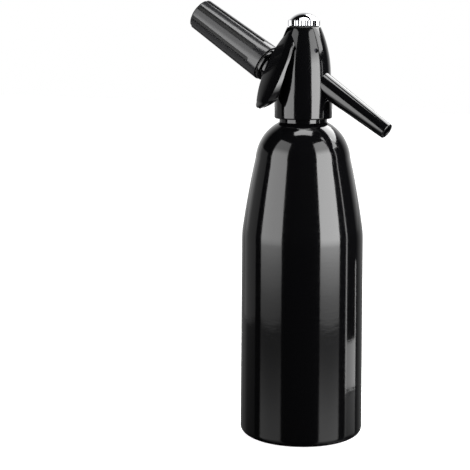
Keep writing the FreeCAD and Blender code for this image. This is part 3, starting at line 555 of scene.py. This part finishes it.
rib = add_node(tree, "ShaderNodeMapRange", {
    "From Min": RIBS_START * MM, "From Max": RIBS_END * MM, "To Min": HOLDER_RADIUS * MM,
    "To Max": (HOLDER_RADIUS - HOLDER_NARROWING) * MM}, {"Value": along.outputs["Value"]})
depth = add_node(tree, "ShaderNodeMath", {"operation": "SUBTRACT"},
                 {0: rib.outputs[0], 1: distance.outputs["Value"]})
trough = add_node(tree, "ShaderNodeMapRange", FLOOR_EDGE, {"Value": depth.outputs[0]})
dull = add_node(tree, "ShaderNodeMapRange", {**FLOOR_EDGE, "To Min": 0.2, "To Max": 0.6},
                {"Value": depth.outputs[0]})
tree.links.new(dull.outputs[0], shader.inputs["Roughness"])
tint = add_node(tree, "ShaderNodeMix", {"data_type": "RGBA", 6: linear("#161618"), 7: linear("#262628")},
                {0: grain.outputs[0]})
# Painted shade: the groove floors take a near-black colour in place of the grained tint.
painted_groove_shade = add_node(tree, "ShaderNodeMix", {"data_type": "RGBA", 7: linear("#020202")},
                {0: trough.outputs[0], 6: tint.outputs[2]})
tree.links.new(painted_groove_shade.outputs[2], shader.inputs["Base Color"])
print("made", nylon.name)

# %% [markdown]
# The metals and rubbers inside and round the edge: bright chrome, turned brass, ground and
# blued steel, a dull black rubber and a milky food-safe plastic. Each needs only a slight
# change of roughness over its surface to look like a real piece.


# %% Plain finishes with a slight unevenness
def uneven(name, code, metallic, low, high, millimetres, depth=0.0):
    """A finish whose roughness wanders from low to high over patches of this size."""
    material, tree, shader, place = new_finish(name, {"Base Color": linear(code), "Metallic": metallic})
    noise = add_node(tree, "ShaderNodeTexNoise", {"Scale": 1000 / millimetres, "Detail": 3.0},
                     {"Vector": place})
    spread = add_node(tree, "ShaderNodeMapRange", {
        "From Min": 0.3, "From Max": 0.7, "To Min": low, "To Max": high}, {"Value": noise.outputs[0]})
    tree.links.new(spread.outputs[0], shader.inputs["Roughness"])
    if depth:
        bump = add_node(tree, "ShaderNodeBump", {"Strength": 0.5, "Distance": depth * MM},
                        {"Height": noise.outputs[0]})
        tree.links.new(bump.outputs[0], shader.inputs["Normal"])
    print("made", name)
    return material


chrome = uneven("bright chrome plate", "#d6d7da", 1.0, 0.03, 0.07, 4.0)
brass = uneven("turned brass", "#c9a25a", 1.0, 0.18, 0.32, 0.8, 0.01)
blued = uneven("blued steel", "#1a1a1d", 1.0, 0.3, 0.45, 0.6, 0.01)
steel = uneven("ground steel", "#9a9b9f", 1.0, 0.2, 0.35, 0.6, 0.01)
rubber = uneven("black nitrile rubber", "#161616", 0.0, 0.5, 0.7, 0.7, 0.02)
milky = uneven("milky polypropylene", "#d9d8d0", 0.0, 0.3, 0.45, 1.5, 0.01)

# %% [markdown]
# The cap's flutes look dark between their bright ribs. So the chrome's colour is darkened
# from a flute's lip to its floor as painted shade, told by the distance from the axis, and left
# undarkened on the dome.

# %% Paint shade into the chrome's flutes
FLUTE_FLOOR, FLUTE_LIP, DOME_START = 11.12, 11.42, 305.1
tree = chrome.node_tree
place = tree.nodes["Texture Coordinate"].outputs["Object"]
flat = add_node(tree, "ShaderNodeVectorMath", {"operation": "MULTIPLY", 1: (1, 1, 0)}, {0: place})
spread = add_node(tree, "ShaderNodeVectorMath", {"operation": "LENGTH"}, {0: flat.outputs[0]})
depth = add_node(tree, "ShaderNodeMapRange", {"From Min": FLUTE_FLOOR * MM, "From Max": FLUTE_LIP * MM},
                 {"Value": spread.outputs["Value"]})
rise = add_node(tree, "ShaderNodeSeparateXYZ", {}, {"Vector": place})
dome = add_node(tree, "ShaderNodeMath", {"operation": "GREATER_THAN", 1: DOME_START * MM},
                {0: rise.outputs["Z"]})
unshaded = add_node(tree, "ShaderNodeMath", {"operation": "MAXIMUM"}, {0: depth.outputs[0], 1: dome.outputs[0]})
# Painted shade: toward a flute's floor the chrome takes a dark colour in place of its own.
tone = add_node(tree, "ShaderNodeMix", {"data_type": "RGBA", 6: linear("#2e2e31"), 7: linear("#d6d7da")},
                {0: unshaded.outputs[0]})
tree.links.new(tone.outputs[2], tree.nodes["Principled BSDF"].inputs["Base Color"])
print("darkened the flutes of", chrome.name)

# %% Give every piece its finish
finishes = {"lacquered_aluminium": lacquered, "lacquered_casting": enamel, "holder_plastic": nylon,
            "chrome": chrome, "brass": brass, "steel": steel, "blued_steel": blued, "rubber": rubber,
            "food_plastic": milky}
new_pieces = {"bottle": bottle, "head_body": head, "lever": lever, "spout_tube": spout,
              "charger_holder": holder, "top_cap": cap}
for entry in frame["record"]["subparts"]:
    piece = new_pieces.get(entry["node"], frame["nodes"][entry["node"]])
    piece.data.materials.clear()
    piece.data.materials.append(finishes[entry["material_slot"]])

# %% [markdown]
# The room. Black gloss has almost no colour of its own: what the eye reads is the room in
# it. So the room is dark in front and pale only behind. Rays from the camera always see
# white behind the object, by Light Path.

# %% The room
AIM = math.radians(30)
toward_camera = Vector((math.sin(AIM), -math.cos(AIM), 0))
to_the_right = Vector((math.cos(AIM), math.sin(AIM), 0))

FILL = 0.006
world = bpy.data.worlds.new("studio")
bpy.context.scene.world = world
world.use_nodes = True
tree = world.node_tree
tree.nodes.clear()
path = add_node(tree, "ShaderNodeLightPath")
sky = add_node(tree, "ShaderNodeTexCoord").outputs["Generated"]
behind = add_node(tree, "ShaderNodeVectorMath", {"operation": "DOT_PRODUCT"}, {0: sky})
behind.inputs[1].default_value = -toward_camera
fade = add_node(tree, "ShaderNodeMapRange", {
    "From Min": 0.55, "From Max": 0.9, "To Min": FILL, "To Max": 0.9}, {"Value": behind.outputs["Value"]})
mirrored = add_node(tree, "ShaderNodeMath", {"operation": "MAXIMUM"},
                    {0: path.outputs["Is Glossy Ray"], 1: path.outputs["Is Transmission Ray"]})
seen = add_node(tree, "ShaderNodeMath", {"operation": "MULTIPLY"},
                {0: mirrored.outputs[0], 1: fade.outputs[0]})
fill = add_node(tree, "ShaderNodeMath", {"operation": "MAXIMUM", 1: FILL}, {0: seen.outputs[0]})
level = add_node(tree, "ShaderNodeMath", {"operation": "MAXIMUM"},
                 {0: path.outputs["Is Camera Ray"], 1: fill.outputs[0]})
shade = add_node(tree, "ShaderNodeBackground", {"Color": (1, 1, 1, 1)}, {"Strength": level.outputs[0]})
output = add_node(tree, "ShaderNodeOutputWorld")
tree.links.new(shade.outputs[0], output.inputs["Surface"])
print("the room is set")

# %% [markdown]
# Two tall panels, left and right, give the broad strips down the bottle and fade toward
# its foot. Three small lamps close by draw the thin line at its right-hand edge. A faint
# one low on the left, one high on the right and two overhead light the rest.


# %% The soft panels
def soft_lamp(name, middle, aim, width, height, radiance, ramp=None):
    """A rectangular lamp of a given brightness, and how that changes from its foot to its top."""
    light = bpy.data.lights.new(name, "AREA")
    light.shape = "RECTANGLE"
    light.size = width * MM
    light.size_y = height * MM
    light.energy = radiance * math.pi * light.size * light.size_y
    lamp = bpy.data.objects.new(name, light)
    lamp.location = middle * MM
    lamp.rotation_euler = (aim - middle).to_track_quat("-Z", "Y").to_euler()
    lamp.visible_camera = False
    bpy.context.collection.objects.link(lamp)
    if ramp:
        light.use_nodes = True
        tree = light.node_tree
        spot = add_node(tree, "ShaderNodeNewGeometry").outputs["Parametric"]
        up = add_node(tree, "ShaderNodeSeparateXYZ", {}, {"Vector": spot})
        bands = add_node(tree, "ShaderNodeValToRGB", {}, {"Fac": up.outputs["Y"]})
        for place, _ in ramp[1:-1]:
            bands.color_ramp.elements.new(place)
        for element, (place, value) in zip(bands.color_ramp.elements, ramp):
            element.position = place
            element.color = (value, value, value, 1)
        tree.links.new(bands.outputs["Color"], tree.nodes["Emission"].inputs["Strength"])
    print(name, "at", [round(value) for value in middle], "power", round(light.energy, 2), "W")


def around(angle, distance, height):
    """A place round the bottle, at an angle from the camera's direction, positive to the right."""
    turn = math.radians(angle)
    away = toward_camera * math.cos(turn) + to_the_right * math.sin(turn)
    return away * distance + Vector((0, 0, height))


TALL = 655
foot_ramp = [(0, 0.13), (31 / TALL, 0.19), (69 / TALL, 0.4), (109 / TALL, 0.8), (147 / TALL, 1.0),
             (340 / TALL, 1.0), (430 / TALL, 0.5), (1, 0.5)]
upright = Vector((0, 0, TALL / 2))
soft_lamp("left panel", around(-58.5, 400, TALL / 2), upright, 315, TALL, 4.8, foot_ramp)
soft_lamp("right panel", around(52, 400, TALL / 2), upright, 283, TALL, 9.6, foot_ramp)
soft_lamp("high right panel", around(90, 400, 540), Vector((0, 0, 300)), 200, 300, 6.0)
soft_lamp("edge strip", around(81.3, 160, 150), Vector((0, 0, 150)), 8, 300, 3.4)
soft_lamp("low strip", around(108.3, 160, 55), Vector((0, 0, 55)), 6, 110, 3.0)
soft_lamp("low corner", around(95, 160, 22), Vector((0, 0, 22)), 70, 42, 2.4)
soft_lamp("low left glow", around(-115, 400, 150), Vector((0, 0, 150)), 300, 300, 0.3)
soft_lamp("overhead", around(130, 433, 700), Vector((0, 0, 260)), 520, 420, 8.0)
soft_lamp("top front panel", around(0, 60, 760), Vector((0, 0, 240)), 320, 160, 7.0)

# %% [markdown]
# The floor is a sheet of white acrylic. It is no part of the object. Rays from the camera
# see it nearly white. For all other rays it is a dark gloss
# sheet, so that the foot of the bottle stays black and sees the panels mirrored in it.

# %% The floor
FLOOR_GLOW = 0.8
bpy.ops.object.select_all(action="DESELECT")
bpy.ops.mesh.primitive_plane_add(size=6, location=(0, 0, -0.0002))
floor = bpy.context.object
floor.name = "floor"
acrylic, tree, shader, place = new_finish("white acrylic sheet", {"Roughness": 0.16, "IOR": 1.49})
path = add_node(tree, "ShaderNodeLightPath")
tone = add_node(tree, "ShaderNodeMix", {"data_type": "RGBA", 6: linear("#101010"), 7: linear("#f2f2f2")},
                {0: path.outputs["Is Camera Ray"]})
glow = add_node(tree, "ShaderNodeMath", {"operation": "MULTIPLY", 1: FLOOR_GLOW},
                {0: path.outputs["Is Camera Ray"]})
tree.links.new(tone.outputs[2], shader.inputs["Base Color"])
shader.inputs["Emission Color"].default_value = (1, 1, 1, 1)
tree.links.new(glow.outputs[0], shader.inputs["Emission Strength"])
floor.data.materials.append(acrylic)

# %% [markdown]
# The camera stands a metre away, a little above the cap, and looks down by nine degrees.
# It is aimed beside the bottle, as in the photograph, so that the bottle stands right of
# the middle; the lens is 105 millimetres on a 36 millimetre sensor.

# %% The camera
DISTANCE, HEIGHT, TILT, ASIDE = 1000.0, 312.0, 9.28, 49.6
SENSOR, FOCAL_PIXELS, PICTURE_PIXELS = 36.0, 1375, 470
lens = bpy.data.cameras.new("camera")
lens.sensor_width = SENSOR
lens.lens = FOCAL_PIXELS * SENSOR / PICTURE_PIXELS
camera = bpy.data.objects.new("camera", lens)
bpy.context.collection.objects.link(camera)
bpy.context.scene.camera = camera
camera.location = toward_camera * DISTANCE * MM + Vector((0, 0, HEIGHT * MM))
target = -to_the_right * ASIDE * MM
flat = Vector((target.x - camera.location.x, target.y - camera.location.y, 0)).normalized()
look = flat * math.cos(math.radians(TILT)) - Vector((0, 0, math.sin(math.radians(TILT))))
camera.rotation_euler = look.to_track_quat("-Z", "Y").to_euler()
bpy.context.scene.view_settings.view_transform = "Standard"
print("camera at", [round(value, 3) for value in camera.location])
